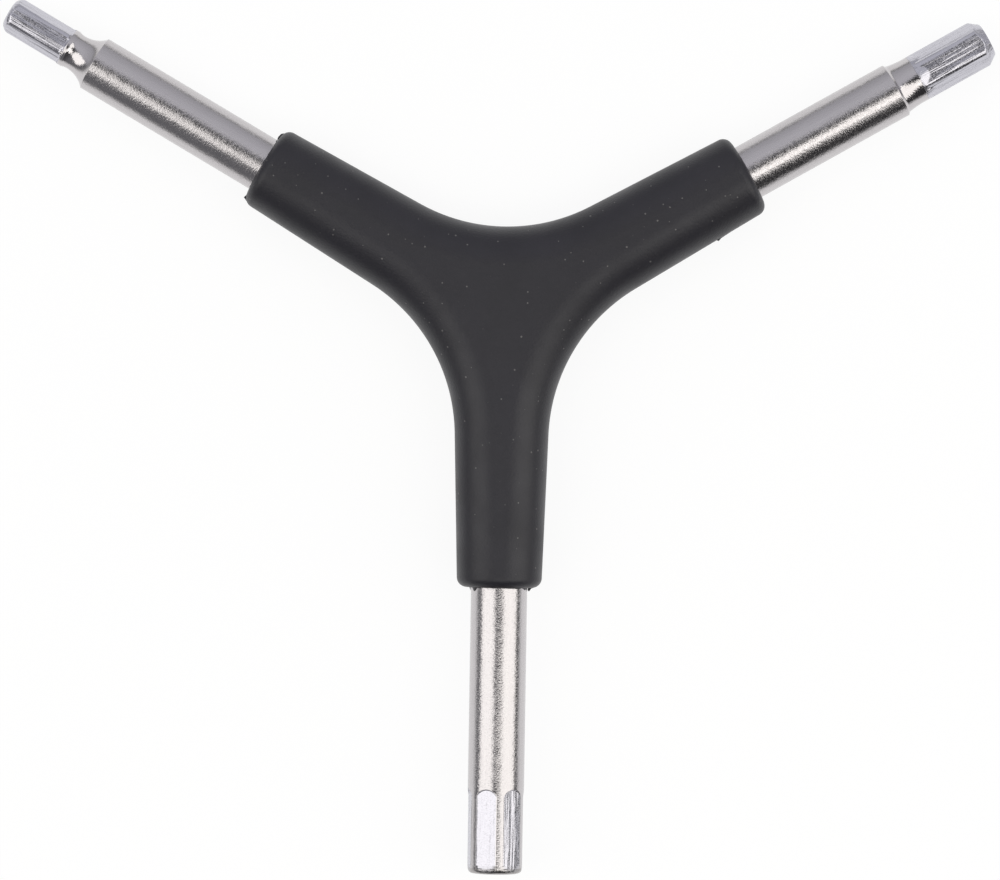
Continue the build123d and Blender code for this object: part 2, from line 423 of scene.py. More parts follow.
line_distance = add_node(tree, "ShaderNodeMath", {0: from_line.outputs[0]}, operation="ABSOLUTE")
parting_line = add_node(
    tree,
    "ShaderNodeMapRange",
    {"Value": line_distance.outputs[0], "From Max": PARTING_LINE_WIDTH, "To Min": 1.0, "To Max": 0.0},
)
print(f"rubber patterns: {len(tree.nodes)} nodes")

# %% Rubber shader
GRAIN_DEPTH = 0.032 * MM
PARTING_LINE_DEPTH = 0.05 * MM

relief = 0.0
for pattern, depth in ((grain.outputs["Fac"], GRAIN_DEPTH), (parting_line.outputs[0], PARTING_LINE_DEPTH)):
    relief = add_node(
        tree, "ShaderNodeMath", {0: pattern, 1: depth, 2: relief}, operation="MULTIPLY_ADD"
    ).outputs[0]
bump = add_node(tree, "ShaderNodeBump", {"Height": relief, "Strength": 1.0, "Distance": 1.0})
shade = add_node(tree, "ShaderNodeValToRGB", {"Fac": smudge.outputs["Fac"]})
shade.color_ramp.elements[0].position = 0.35
shade.color_ramp.elements[0].color = linear("#201F26")
shade.color_ramp.elements[1].position = 0.7
shade.color_ramp.elements[1].color = linear("#27262D")
dusty = add_node(
    tree,
    "ShaderNodeMix",
    {0: speck.outputs[0], 6: shade.outputs["Color"], 7: linear("#8C8A88")},
    data_type="RGBA",
)
roughness = add_node(
    tree,
    "ShaderNodeMapRange",
    {"Value": smudge.outputs["Fac"], "From Min": 0.3, "From Max": 0.7, "To Min": 0.48, "To Max": 0.38},
).outputs[0]
rubber = add_node(
    tree,
    "ShaderNodeBsdfPrincipled",
    {"Base Color": dusty.outputs[2], "Roughness": roughness, "IOR": 1.5, "Normal": bump.outputs[0]},
)
add_node(tree, "ShaderNodeOutputMaterial", {"Surface": rubber.outputs[0]})
print(f"{moulded_rubber.name}: {len(tree.nodes)} nodes")

# %% [markdown]
# ## From a guide line to a finished mesh
#
# A guide line is a row of points along a key or along half an arm of the grip, and each point
# carries the measures of the section there. The node tree lays a grid with one row for each
# guide point and bends it into the surface. The helpers here make the guide, open a node tree
# with named inputs, lay the grid, and turn the result into a plain mesh.

# %% Guide and tree helpers


def guide_object(name, stations):
    """A line of points, one for each station, that carries the station's measures as attributes."""
    mesh = bpy.data.meshes.new(name)
    edges = [(i, i + 1) for i in range(len(stations) - 1)]
    mesh.from_pydata([(0, 0, 0)] * len(stations), edges, [])
    for measure in stations[0]:
        attribute = mesh.attributes.new(measure, "FLOAT", "POINT")
        attribute.data.foreach_set("value", [station[measure] for station in stations])
    guide = bpy.data.objects.new(name, mesh)
    bpy.context.scene.collection.objects.link(guide)
    return guide


def node_group(name, inputs):
    """A geometry node tree with the named inputs, and those inputs by name."""
    tree = bpy.data.node_groups.new(name, "GeometryNodeTree")
    tree.interface.new_socket("Geometry", in_out="INPUT", socket_type="NodeSocketGeometry")
    for label, kind in inputs.items():
        tree.interface.new_socket(label, in_out="INPUT", socket_type=kind)
    tree.interface.new_socket("Geometry", in_out="OUTPUT", socket_type="NodeSocketGeometry")
    return tree, {socket.name: socket for socket in add_node(tree, "NodeGroupInput").outputs}


def lay_grid(tree, guide, columns, measures):
    """A grid with a row for each guide point, and by name its column and the measures of its row."""
    points = add_node(tree, "GeometryNodeAttributeDomainSize", {"Geometry": guide})
    grid = add_node(
        tree,
        "GeometryNodeMeshGrid",
        {"Size X": 1.0, "Size Y": 1.0, "Vertices X": points.outputs["Point Count"], "Vertices Y": columns},
    )
    index = add_node(tree, "GeometryNodeInputIndex")
    place = add_node(tree, "ShaderNodeMath", {0: index.outputs[0], 1: columns}, operation="DIVIDE")
    row = add_node(tree, "ShaderNodeMath", {0: place.outputs[0]}, operation="FLOOR")
    rows_before = add_node(tree, "ShaderNodeMath", {0: row.outputs[0], 1: columns}, operation="MULTIPLY")
    column = add_node(
        tree, "ShaderNodeMath", {0: index.outputs[0], 1: rows_before.outputs[0]}, operation="SUBTRACT"
    )
    known = {"column": column.outputs[0]}
    for measure in measures:
        named = add_node(tree, "GeometryNodeInputNamedAttribute", {"Name": measure}, data_type="FLOAT")
        sample = add_node(
            tree,
            "GeometryNodeSampleIndex",
            {"Geometry": guide, "Value": named.outputs["Attribute"], "Index": row.outputs[0]},
            data_type="FLOAT",
            domain="POINT",
        )
        known[measure] = sample.outputs["Value"]
    return grid.outputs["Mesh"], known


def finished_piece(name, guide, tree, values):
    """Runs the tree on the guide with the given inputs, and returns the result as a plain mesh."""
    modifier = guide.modifiers.new(tree.name, "NODES")
    modifier.node_group = tree
    for item in tree.interface.items_tree:
        if item.in_out == "INPUT" and item.name in values:
            modifier[item.identifier] = values[item.name]
    bpy.context.view_layer.update()
    evaluated = guide.evaluated_get(bpy.context.evaluated_depsgraph_get())
    mesh = bpy.data.meshes.new_from_object(evaluated)
    mesh.name = name
    piece = bpy.data.objects.new(name, mesh)
    bpy.context.scene.collection.objects.link(piece)
    bpy.data.objects.remove(guide)
    return piece


def report(piece):
    """Prints a piece's size and whether its surface is closed."""
    checked = bmesh.new()
    checked.from_mesh(piece.data)
    open_edges = sum(1 for edge in checked.edges if not edge.is_manifold)
    volume = checked.calc_volume(signed=True) / MM**3
    checked.free()
    print(f"{piece.name}: {len(piece.data.polygons)} faces, {open_edges} open edges, {volume:.1f} mm3")


# %% [markdown]
# ## Shape of a key
#
# A key starts as a round bar. A lathe gives it a profile, and a press or a mill gives it six flats.
# So the radius at any place is the smaller of the turned radius and the distance to the nearest
# flat. The hexagon does not end at a step: on the 4 and 5 mm keys the flats run out over a cone, on
# the 6 mm key each flat has the round end that an end mill leaves. Smooth minimums round the edges,
# as polishing does. The pressed flats of the 4 and 5 mm keys also fall away a little towards their
# edges, by a drop that grows with the fourth power of the distance across the flat. Inside the grip
# the bar's end is mitred to fit its two neighbours.
#
# The tables list one formula a line: the name of the result, the operation, and what it works on.

# %% Tree for a key
HEX_SIDE = math.radians(60)
MITRE_SLOPE = 1 / math.tan(math.radians(60))
WALL_SLOPE = math.tan(math.radians(72))
NEAR_AXIS = 1e-7  # in metres; a turned radius no larger than this is a point on the axis

key_tree, given = node_group(
    "key_from_profile",
    {
        "Points Around": "NodeSocketInt",
        "Roll": "NodeSocketFloat",
        "Flat Start": "NodeSocketFloat",
        "Cutter Radius": "NodeSocketFloat",
        "Heading": "NodeSocketFloat",
        "Axis Height": "NodeSocketFloat",
        "Mitre Apex": "NodeSocketFloat",
        "Material": "NodeSocketMaterial",
    },
)
columns = add_node(key_tree, "ShaderNodeMath", {0: given["Points Around"], 1: 1.0}, operation="ADD")
measures = ("along", "turned", "half_flats", "runout", "softness", "grit", "worn", "film", "edge_wear")
grid, known = lay_grid(key_tree, given["Geometry"], columns.outputs[0], measures)
known.update(given)
for name, operation, *terms in (
    ("turn share", "DIVIDE", "column", "Points Around"),
    ("turn", "MULTIPLY", "turn share", math.tau),
    ("flat normal", "ADD", "Roll", math.pi / 2),
    ("past flat", "SUBTRACT", "turn", "flat normal"),
    ("off flat", "WRAP", "past flat", HEX_SIDE / 2, -HEX_SIDE / 2),
    ("off flat cosine", "COSINE", "off flat"),
    ("off flat tangent", "TANGENT", "off flat"),
    ("across flat", "MULTIPLY", "half_flats", "off flat tangent"),
    ("across squared", "MULTIPLY", "across flat", "across flat"),
    ("across to the fourth", "MULTIPLY", "across squared", "across squared"),
    ("edge drop", "MULTIPLY", "across to the fourth", "edge_wear"),
    ("flat distance", "SUBTRACT", "half_flats", "edge drop"),
    ("flat radius", "DIVIDE", "flat distance", "off flat cosine"),
    ("cutter squared", "MULTIPLY", "Cutter Radius", "Cutter Radius"),
    ("under cutter", "SUBTRACT", "cutter squared", "across squared"),
    ("cutter front", "SQRT", "under cutter"),
    ("cutter rear", "SUBTRACT", "Cutter Radius", "cutter front"),
    ("full depth", "ADD", "Flat Start", "cutter rear"),
    ("before flat", "SUBTRACT", "full depth", "along"),
    ("wall", "MULTIPLY", "before flat", WALL_SLOPE),
    ("wall height", "MAXIMUM", "wall", 0.0),
    ("hexagon", "ADD", "flat radius", "wall height"),
    ("worked", "SMOOTH_MAX", "hexagon", "runout", "softness"),
    ("softened", "SMOOTH_MIN", "turned", "worked", "softness"),
    ("off axis", "GREATER_THAN", "turned", NEAR_AXIS),
    ("radius", "MULTIPLY", "softened", "off axis"),
    ("turn cosine", "COSINE", "turn"),
    ("side", "MULTIPLY", "radius", "turn cosine"),
    ("turn sine", "SINE", "turn"),
    ("up", "MULTIPLY", "radius", "turn sine"),
    ("off middle", "ABSOLUTE", "side"),
    ("mitre", "MULTIPLY_ADD", "off middle", MITRE_SLOPE, "Mitre Apex"),
    ("mitred along", "MAXIMUM", "along", "mitre"),
    ("cut depth", "SUBTRACT", "turned", "worked"),
    ("cut share", "DIVIDE", "cut depth", "softness"),
    ("pressed or cut", "MAXIMUM", "cut share", "film"),
    ("flat share", "MINIMUM", "pressed or cut", 1.0),
):
    sockets = {i: known.get(term, term) for i, term in enumerate(terms)}
    known[name] = add_node(key_tree, "ShaderNodeMath", sockets, operation=operation).outputs[0]
print(f"key formulas: {len(known)} named values")

# %% From formulas to the key's surface
MERGE_DISTANCE = 0.001 * MM

place = add_node(
    key_tree, "ShaderNodeCombineXYZ", {0: known["mitred along"], 1: known["side"], 2: known["up"]}
)
finish = add_node(
    key_tree, "ShaderNodeCombineXYZ", {0: known["grit"], 1: known["flat share"], 2: known["worn"]}
)
shaped = add_node(key_tree, "GeometryNodeSetPosition", {"Geometry": grid, "Position": place.outputs[0]})
stored = shaped.outputs[0]
for name, value in (("key_finish", finish.outputs[0]), ("key_place", place.outputs[0])):
    stored = add_node(
        key_tree,
        "GeometryNodeStoreNamedAttribute",
        {"Geometry": stored, "Name": name, "Value": value},
        data_type="FLOAT_VECTOR",
        domain="POINT",
    ).outputs[0]
heading = add_node(key_tree, "ShaderNodeCombineXYZ", {2: given["Heading"]})
height = add_node(key_tree, "ShaderNodeCombineXYZ", {2: given["Axis Height"]})
turned_key = add_node(
    key_tree,
    "GeometryNodeTransform",
    {"Geometry": stored, "Translation": height.outputs[0], "Rotation": heading.outputs[0]},
)
outward_faces = add_node(key_tree, "GeometryNodeFlipFaces", {"Mesh": turned_key.outputs[0]})
closed = add_node(
    key_tree,
    "GeometryNodeMergeByDistance",
    {"Geometry": outward_faces.outputs[0], "Distance": MERGE_DISTANCE},
)
smooth = add_node(key_tree, "GeometryNodeSetShadeSmooth", {"Geometry": closed.outputs[0]})
real = add_node(key_tree, "GeometryNodeRealizeInstances", {"Geometry": smooth.outputs[0]})
coated = add_node(
    key_tree, "GeometryNodeSetMaterial", {"Geometry": real.outputs[0], "Material": given["Material"]}
)
add_node(key_tree, "NodeGroupOutput", {"Geometry": coated.outputs[0]})
print(f"key tree: {len(key_tree.nodes)} nodes")

# %% [markdown]
# ## Profiles
#
# A profile is a list of points along the axis, each with the turned radius in millimetres and the
# finish there: how soft the edges are, how much polishing grit shows, how worn it is, how much of
# the die's bluish film covers it all round, and how far the press or the polishing has rounded the
# flats towards their edges. Long straight runs need only their ends, plus a close neighbour at each
# end that keeps the shading of the edge from spreading over the run. Curved parts are arcs that are
# level at one end.

# %% Profile helpers
EDGE_BREAK = 0.04
ROLLED = (0.06, 1.0, 0.0, 0.0, 0.0)
TURNED = (0.06, 0.6, 0.0, 0.0, 0.0)
PRESSED_4 = (0.04, 0.2, 0.0, 1.0, 0.07)
PRESSED_5 = (0.04, 0.75, 0.0, 1.0, 0.017)
MILLED = (0.05, 0.8, 0.0, 0.0, 0.0)
MILLED_END = (0.15, 0.8, 0.1, 0.0, 0.0)
MILLED_NOSE = (0.25, 0.8, 0.45, 0.0, 0.0)


def run(start, end, steps=1, finish=ROLLED):
    """Points of a straight run, with a close neighbour inside each end."""
    length = math.dist(start, end)
    near = min(EDGE_BREAK, length / steps / 4) / length
    shares = [0, near, *[(i + 1) / steps for i in range(steps - 1)], 1 - near, 1]
    return [(*[a + (b - a) * s for a, b in zip(start, end)], *finish) for s in shares]


def level_arc(level, other, steps, finish=ROLLED):
    """Points of the arc that is level at its first end and runs to the other."""
    dx, dr = other[0] - level[0], other[1] - level[1]
    radius = (dx * dx + dr * dr) / (2 * dr)
    sweep = 2 * math.atan(dr / dx)
    angles = [sweep * i / steps for i in range(steps + 1)]
    places = [(level[0] + radius * math.sin(a), level[1] + radius * (1 - math.cos(a))) for a in angles]
    return [(*place, *finish) for place in places]


def joined(*runs):
    """One profile from several runs, each starting where the last one ends."""
    points = list(runs[0])
    for later in runs[1:]:
        points += later[1:]
    return points


def stations(profile, half_flats, runout):
    """Guide stations in metres from a profile, with the flats and their run-out at each place."""
    return [
        {
            "along": x * MM,
            "turned": radius * MM,
            "half_flats": half_flats(x) * MM,
            "runout": runout(x) * MM,
            "softness": softness * MM,
            "grit": grit,
            "worn": worn,
            "film": film,
            "edge_wear": edge_wear / MM**3,
        }
        for x, radius, softness, grit, worn, film, edge_wear in profile
    ]


# %% [markdown]
# ## The three profiles
#
# Each key repeats the sizes of its solid in the CAD model. The 4 mm key is necked down behind a low
# collar, the 5 mm key has a bevelled shoulder and a short cone, and the 6 mm key is the bar itself.

# %% Profiles of the keys
BAR = 3.25
PAST_MITRE = 2.0  # the mitre of the inner end stops short of this place
INNER_END = [(0, 0, *ROLLED), (0, BAR, *ROLLED)]


def profile_4():
    """Turned profile of the 4 mm key."""
    bar_end, shoulder = (55.017, BAR), (55.117, 3.15)
    neck, collar, collar_end = (57.55, 2.125), (58.3, 2.27), (58.6, 2.27)
    hex_start, nose_start, nose = (58.92, 2.215), (65.3, 2.215), (66.45, 1.5)
    return joined(
        INNER_END,
        run((0, BAR), (PAST_MITRE, BAR)),
        run((PAST_MITRE, BAR), bar_end, 4),
        run(bar_end, shoulder, 1, TURNED),
        level_arc(neck, shoulder, 24, TURNED)[::-1],
        level_arc(neck, collar, 6, TURNED),
        run(collar, collar_end, 2, TURNED),
        run(collar_end, hex_start, 6, TURNED),
        run(hex_start, nose_start, 24, PRESSED_4),
        level_arc(nose_start, nose, 16, PRESSED_4),
        run(nose, (nose[0], 0), 3, PRESSED_4),
    )


def profile_5():
    """Turned profile of the 5 mm key."""
    bar_end, shoulder, neck = (51.8, BAR), (52.05, 2.97), (54.15, 2.77)
    hex_start, cone_end, nose_start, nose = (54.6, 2.77), (57.2, 2.77), (62.75, 2.77), (63.85, 1.975)
    return joined(
        INNER_END,
        run((0, BAR), (PAST_MITRE, BAR)),
        run((PAST_MITRE, BAR), bar_end, 4),
        run(bar_end, shoulder, 3, TURNED),
        level_arc(neck, shoulder, 12, TURNED)[::-1],
        run(neck, hex_start, 3, TURNED),
        run(hex_start, cone_end, 26, PRESSED_5),
        run(cone_end, nose_start, 16, PRESSED_5),
        run(nose_start, nose, 12, PRESSED_5),
        run(nose, (nose[0], 0), 3, PRESSED_5),
    )


def profile_6():
    """Turned profile of the 6 mm key."""
    flat_start, flat_full, wear_start = (55.2, BAR), (56.6, BAR), (64.2, BAR)
    nose_start, nose = (64.5, BAR), (65.2, 2.5)
    return joined(
        INNER_END,
        run((0, BAR), (PAST_MITRE, BAR)),
        run((PAST_MITRE, BAR), flat_start, 4),
        run(flat_start, flat_full, 40, MILLED),
        run(flat_full, wear_start, 16, MILLED),
        run(wear_start, nose_start, 6, MILLED_END),
        level_arc(nose_start, nose, 14, MILLED_NOSE),
        run(nose, (nose[0], 0), 3, MILLED_NOSE),
    )


# %% Flats of the keys
HALF_FLATS_4, HALF_FLATS_5, HALF_FLATS_6 = 2.0, 2.5, 3.0
RUNOUT_4 = ((58.6, 2.32), (58.92, HALF_FLATS_4))
RUNOUT_5 = ((54.6, 2.82), (56.0, HALF_FLATS_5))
RUNOUT_LEAD = 0.05
NO_FLATS = 9.0  # further out than any part of the bar
CUTTER_START = 55.5
CUTTER_RADIUS = 1.4


def flats_from(runout):
    """How far out the flats lie at a place along the bar: they begin just before their run-out."""
    (start, _), (_, half_flats) = runout
    return lambda x: half_flats if x >= start - RUNOUT_LEAD else NO_FLATS


def cone_radius(runout):
    """The radius, at a place along the bar, of the cone over which its flats run out."""
    (start, start_radius), (end, end_radius) = runout

    def radius(x):
        share = min(max((x - start) / (end - start), 0), 1)
        return start_radius + (end_radius - start_radius) * share

    return radius


KEYS = {
    "hex_key_5mm": {
        "heading": 30,
        "roll": 0,
        "flat_start": 0,
        "stations": stations(profile_5(), flats_from(RUNOUT_5), cone_radius(RUNOUT_5)),
    },
    "hex_key_4mm": {
        "heading": 150,
        "roll": 3,
        "flat_start": 0,
        "stations": stations(profile_4(), flats_from(RUNOUT_4), cone_radius(RUNOUT_4)),
    },
    "hex_key_6mm": {
        "heading": 270,
        "roll": 20.5,
        "flat_start": CUTTER_START,
        "stations": stations(profile_6(), lambda x: HALF_FLATS_6, lambda x: 0),
    },
}
for name, key in KEYS.items():
    print(f"{name}: {len(key['stations'])} stations")

# %% Make the keys
POINTS_AROUND = 288
MITRE_APEX = 0.0231  # half the gap of 0.04 mm between two bars, divided by the sine of 60 degrees

for name, key in KEYS.items():
    piece = finished_piece(
        name + "_plated",
        guide_object("guide_" + name, key["stations"]),
        key_tree,
        {
            "Points Around": POINTS_AROUND,
            "Roll": math.radians(key["roll"]),
            "Flat Start": key["flat_start"] * MM,
            "Cutter Radius": CUTTER_RADIUS * MM,
            "Heading": math.radians(key["heading"]),
            "Axis Height": AXIS_HEIGHT,
            "Mitre Apex": MITRE_APEX * MM,
            "Material": plated_steel,
        },
    )
    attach(piece, "root")
    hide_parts(name)
    report(piece)

# %% [markdown]
# ## Shape of the grip
#
# From above the grip is a Y whose arms taper a little, with round crotches. A cut across an arm is
# almost a circle, and the hub is flat on top with the same round edge. So a rib is drawn from each
# point of the outline straight in to the arm's middle line: down the wall, round the edge, and over
# the flat top. Half an arm is made this way, then mirrored and turned to the other places. The same
# grid turns in at the arm's end, down the hole round the bar and in to the mitre.

# %% Tree for the grip
grip_tree, given = node_group(
    "grip_from_outline",
    {
        "Top Steps": "NodeSocketInt",
        "Edge Steps": "NodeSocketInt",
        "Bore Radius": "NodeSocketFloat",
        "Axis Height": "NodeSocketFloat",
        "Material": "NodeSocketMaterial",
    },
)
steps = add_node(
    grip_tree, "ShaderNodeMath", {0: given["Top Steps"], 1: given["Edge Steps"]}, operation="ADD"
)
# The upper and the lower half have one column more than steps, and one column is the wall's middle.
columns = add_node(
    grip_tree, "ShaderNodeMath", {0: steps.outputs[0], 1: 2.0, 2: 3.0}, operation="MULTIPLY_ADD"
)
measures = ("foot_x", "foot_y", "middle_x", "rib_length", "half_height", "edge_radius", "bore")
grid, known = lay_grid(grip_tree, given["Geometry"], columns.outputs[0], measures)
known.update(given, steps=steps.outputs[0], columns=columns.outputs[0])
for name, operation, *terms in (
    ("last column", "SUBTRACT", "columns", 1.0),
    ("mirrored column", "SUBTRACT", "last column", "column"),
    ("step", "MINIMUM", "column", "mirrored column"),
    ("above", "SUBTRACT", "mirrored column", "column"),
    ("upper", "SIGN", "above"),
    ("top steps done", "DIVIDE", "step", "Top Steps"),
    ("top share", "MINIMUM", "top steps done", 1.0),
    ("past top", "SUBTRACT", "step", "Top Steps"),
    ("edge steps done", "DIVIDE", "past top", "Edge Steps"),
    ("edge begun", "MAXIMUM", "edge steps done", 0.0),
    ("edge share", "MINIMUM", "edge begun", 1.0),
    ("edge turn", "MULTIPLY", "edge share", math.pi / 2),
    ("wall share", "GREATER_THAN", "step", "steps"),
    ("top width", "SUBTRACT", "rib_length", "edge_radius"),
    ("edge sine", "SINE", "edge turn"),
    ("edge width", "MULTIPLY", "edge_radius", "edge sine"),
    ("from middle", "MULTIPLY_ADD", "top width", "top share", "edge width"),
    ("edge cosine", "COSINE", "edge turn"),
    ("edge rise", "MULTIPLY", "edge_radius", "edge cosine"),
    ("wall height", "SUBTRACT", "half_height", "edge_radius"),
    ("wall drop", "MULTIPLY", "wall height", "wall share"),
    ("wall rise", "SUBTRACT", "wall height", "wall drop"),
    ("rise", "ADD", "edge rise", "wall rise"),
    ("outward", "DIVIDE", "from middle", "rib_length"),
    ("foot offset", "SUBTRACT", "foot_x", "middle_x"),
    ("shell x", "MULTIPLY_ADD", "foot offset", "outward", "middle_x"),
    ("shell y", "MULTIPLY", "foot_y", "outward"),
    ("shell z", "MULTIPLY", "rise", "upper"),
    ("round turn", "ARCTAN2", "from middle", "shell z"),
    ("round sine", "SINE", "round turn"),
    ("bore y", "MULTIPLY", "Bore Radius", "round sine"),
    ("round cosine", "COSINE", "round turn"),
    ("bore z", "MULTIPLY", "Bore Radius", "round cosine"),
    ("mitre", "MULTIPLY", "bore y", MITRE_SLOPE),
    ("bore x", "MAXIMUM", "foot_x", "mitre"),
):
    sockets = {i: known.get(term, term) for i, term in enumerate(terms)}
    known[name] = add_node(grip_tree, "ShaderNodeMath", sockets, operation=operation).outputs[0]
print(f"grip formulas: {len(known)} named values")

# %% From formulas to the grip's surface
shell = add_node(
    grip_tree, "ShaderNodeCombineXYZ", {0: known["shell x"], 1: known["shell y"], 2: known["shell z"]}
)
bore = add_node(
    grip_tree, "ShaderNodeCombineXYZ", {0: known["bore x"], 1: known["bore y"], 2: known["bore z"]}
)
place = add_node(
    grip_tree,
    "ShaderNodeMix",
    {0: known["bore"], 4: shell.outputs[0], 5: bore.outputs[0]},
    data_type="VECTOR",
)
half_arm = add_node(grip_tree, "GeometryNodeSetPosition", {"Geometry": grid, "Position": place.outputs[1]})
mirrored = add_node(
    grip_tree, "GeometryNodeTransform", {"Geometry": half_arm.outputs[0], "Scale": (1, -1, 1)}
)
righted = add_node(grip_tree, "GeometryNodeFlipFaces", {"Mesh": mirrored.outputs[0]})
arm = add_node(grip_tree, "GeometryNodeJoinGeometry", {0: half_arm.outputs[0]})
grip_tree.links.new(righted.outputs[0], arm.inputs[0])
three_arms = add_node(grip_tree, "GeometryNodeJoinGeometry")
height = add_node(grip_tree, "ShaderNodeCombineXYZ", {2: given["Axis Height"]})
for key in KEYS.values():
    turned_arm = add_node(
        grip_tree,
        "GeometryNodeTransform",
        {
            "Geometry": arm.outputs[0],
            "Translation": height.outputs[0],
            "Rotation": (0, 0, math.radians(key["heading"])),
        },
    )
    grip_tree.links.new(turned_arm.outputs[0], three_arms.inputs[0])
closed = add_node(
    grip_tree,
    "GeometryNodeMergeByDistance",
    {"Geometry": three_arms.outputs[0], "Distance": MERGE_DISTANCE},
)
smooth = add_node(grip_tree, "GeometryNodeSetShadeSmooth", {"Geometry": closed.outputs[0]})
real = add_node(grip_tree, "GeometryNodeRealizeInstances", {"Geometry": smooth.outputs[0]})
coated = add_node(
    grip_tree, "GeometryNodeSetMaterial", {"Geometry": real.outputs[0], "Material": given["Material"]}
)
add_node(grip_tree, "NodeGroupOutput", {"Geometry": coated.outputs[0]})
print(f"grip tree: {len(grip_tree.nodes)} nodes")

# %% Guide along half an arm
GRIP_REACH = 32.2
GRIP_HALF_HEIGHT = 4.8
GRIP_END_HALF_WIDTH = 4.88
GRIP_TAPER = math.radians(1.76)
CROTCH_RADIUS = 20.7
GRIP_EDGE = 4.5
GRIP_END_EDGE = 1.1
BORE_RADIUS = 3.27
HALF_SPACING = math.radians(60)
CROTCH_STEPS, FLANK_STEPS, END_STEPS = 48, 24, 12
FLANK_STOP = 0.1  # how far the flank's last rib stays from the first rib of the rounded end
NEAR_BORE = 0.9  # a share of the way across the end face, from its rim to the bore
BORE_LIP = 0.05
PAST_BORE_MITRE = 4.0  # the mitre of the bore stops short of this place


def rib(foot, inward, inset=0.0, bore=0.0):
    """One rib from a point of the outline to the arm's middle line, in metres."""
    length = foot[1] / -inward[1]
    return {
        "foot_x": foot[0] * MM,
        "foot_y": foot[1] * MM,
        "middle_x": (foot[0] + inward[0] * length) * MM,
        "rib_length": length * MM,
        "half_height": (GRIP_HALF_HEIGHT - inset) * MM,
        "edge_radius": (GRIP_EDGE - inset) * MM,
        "bore": bore,
    }


def half_arm_ribs():
    """Ribs from the middle of a crotch to the end of an arm, and then down the hole."""
    crossing = (GRIP_END_HALF_WIDTH + GRIP_REACH * math.tan(GRIP_TAPER)) / (
        math.sin(HALF_SPACING) + math.cos(HALF_SPACING) * math.tan(GRIP_TAPER)
    )
    centre_distance = crossing + CROTCH_RADIUS / math.sin(HALF_SPACING + GRIP_TAPER)
    centre = (centre_distance * math.cos(HALF_SPACING), centre_distance * math.sin(HALF_SPACING))
    first, last = math.pi + HALF_SPACING, 1.5 * math.pi - GRIP_TAPER
    ribs = []
    for i in range(CROTCH_STEPS + 1):
        angle = first + (last - first) * i / CROTCH_STEPS
        inward = (math.cos(angle), math.sin(angle))
        foot = (centre[0] + CROTCH_RADIUS * inward[0], centre[1] + CROTCH_RADIUS * inward[1])
        ribs.append(rib(foot, inward))
    flank_start = foot[0]
    flank_end = GRIP_REACH - GRIP_END_EDGE
    for i in range(1, FLANK_STEPS + 1):
        x = flank_start + (flank_end - FLANK_STOP - flank_start) * i / FLANK_STEPS
        ribs.append(rib((x, GRIP_END_HALF_WIDTH + (GRIP_REACH - x) * math.tan(GRIP_TAPER)), inward))
    for i in range(END_STEPS + 1):
        angle = math.pi / 2 * i / END_STEPS
        inset = GRIP_END_EDGE * (1 - math.cos(angle))
        x = flank_end + GRIP_END_EDGE * math.sin(angle)
        width = GRIP_END_HALF_WIDTH + (GRIP_REACH - x) * math.tan(GRIP_TAPER) - inset
        ribs.append(rib((x, width), (0, -1), inset))
    ribs.append(rib((GRIP_REACH, width), (0, -1), GRIP_END_EDGE, NEAR_BORE))
    for x in (GRIP_REACH, GRIP_REACH - BORE_LIP, PAST_BORE_MITRE, 0):
        ribs.append(rib((x, width), (0, -1), GRIP_END_EDGE, 1))
    return ribs


ribs_of_half_arm = half_arm_ribs()
print(f"half an arm: {len(ribs_of_half_arm)} ribs")

# %% Make the grip
grip = finished_piece(
    "rubber_grip_moulded",
    guide_object("guide_rubber_grip", ribs_of_half_arm),
    grip_tree,
    {
        "Top Steps": 14,
        "Edge Steps": 22,
        "Bore Radius": BORE_RADIUS * MM,
        "Axis Height": AXIS_HEIGHT,
        "Material": moulded_rubber,
    },
)
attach(grip, "root")
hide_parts("rubber_grip")
report(grip)

# %% [markdown]
# ## Flash of the mould
#
# Rubber creeps into every gap of a mould. Where the mould closed on the bars it left a thin ragged
# skin round each of them, with a torn tongue here and there, and where its halves met it left small
# tabs. Nobody trimmed them, so they show as black slivers at the grip's ends. The skins are short
# tubes with an uneven edge, and the tabs are thin plates cut to the outlines in the photograph.

# %% Flash helpers
SKIN_POINTS = 180
SKIN_THICKNESS = 0.09
SKIN_ROOT = 0.3  # how deep inside the grip the skin starts
SKIN_INSIDE = BORE_RADIUS - 0.015
SHORTEST_SKIN = 0.03
TONGUE_SPREAD = 6  # in degrees round the bar
TAB_THICKNESS = 0.16


def arm_place(heading, along, side, up):
    """A place given along, left of and above a key's axis, in metres in the tool's frame."""
    turn = math.radians(heading)
    x = along * math.cos(turn) - side * math.sin(turn)
    y = along * math.sin(turn) + side * math.cos(turn)
    return Vector((x * MM, y * MM, AXIS_HEIGHT + up * MM))


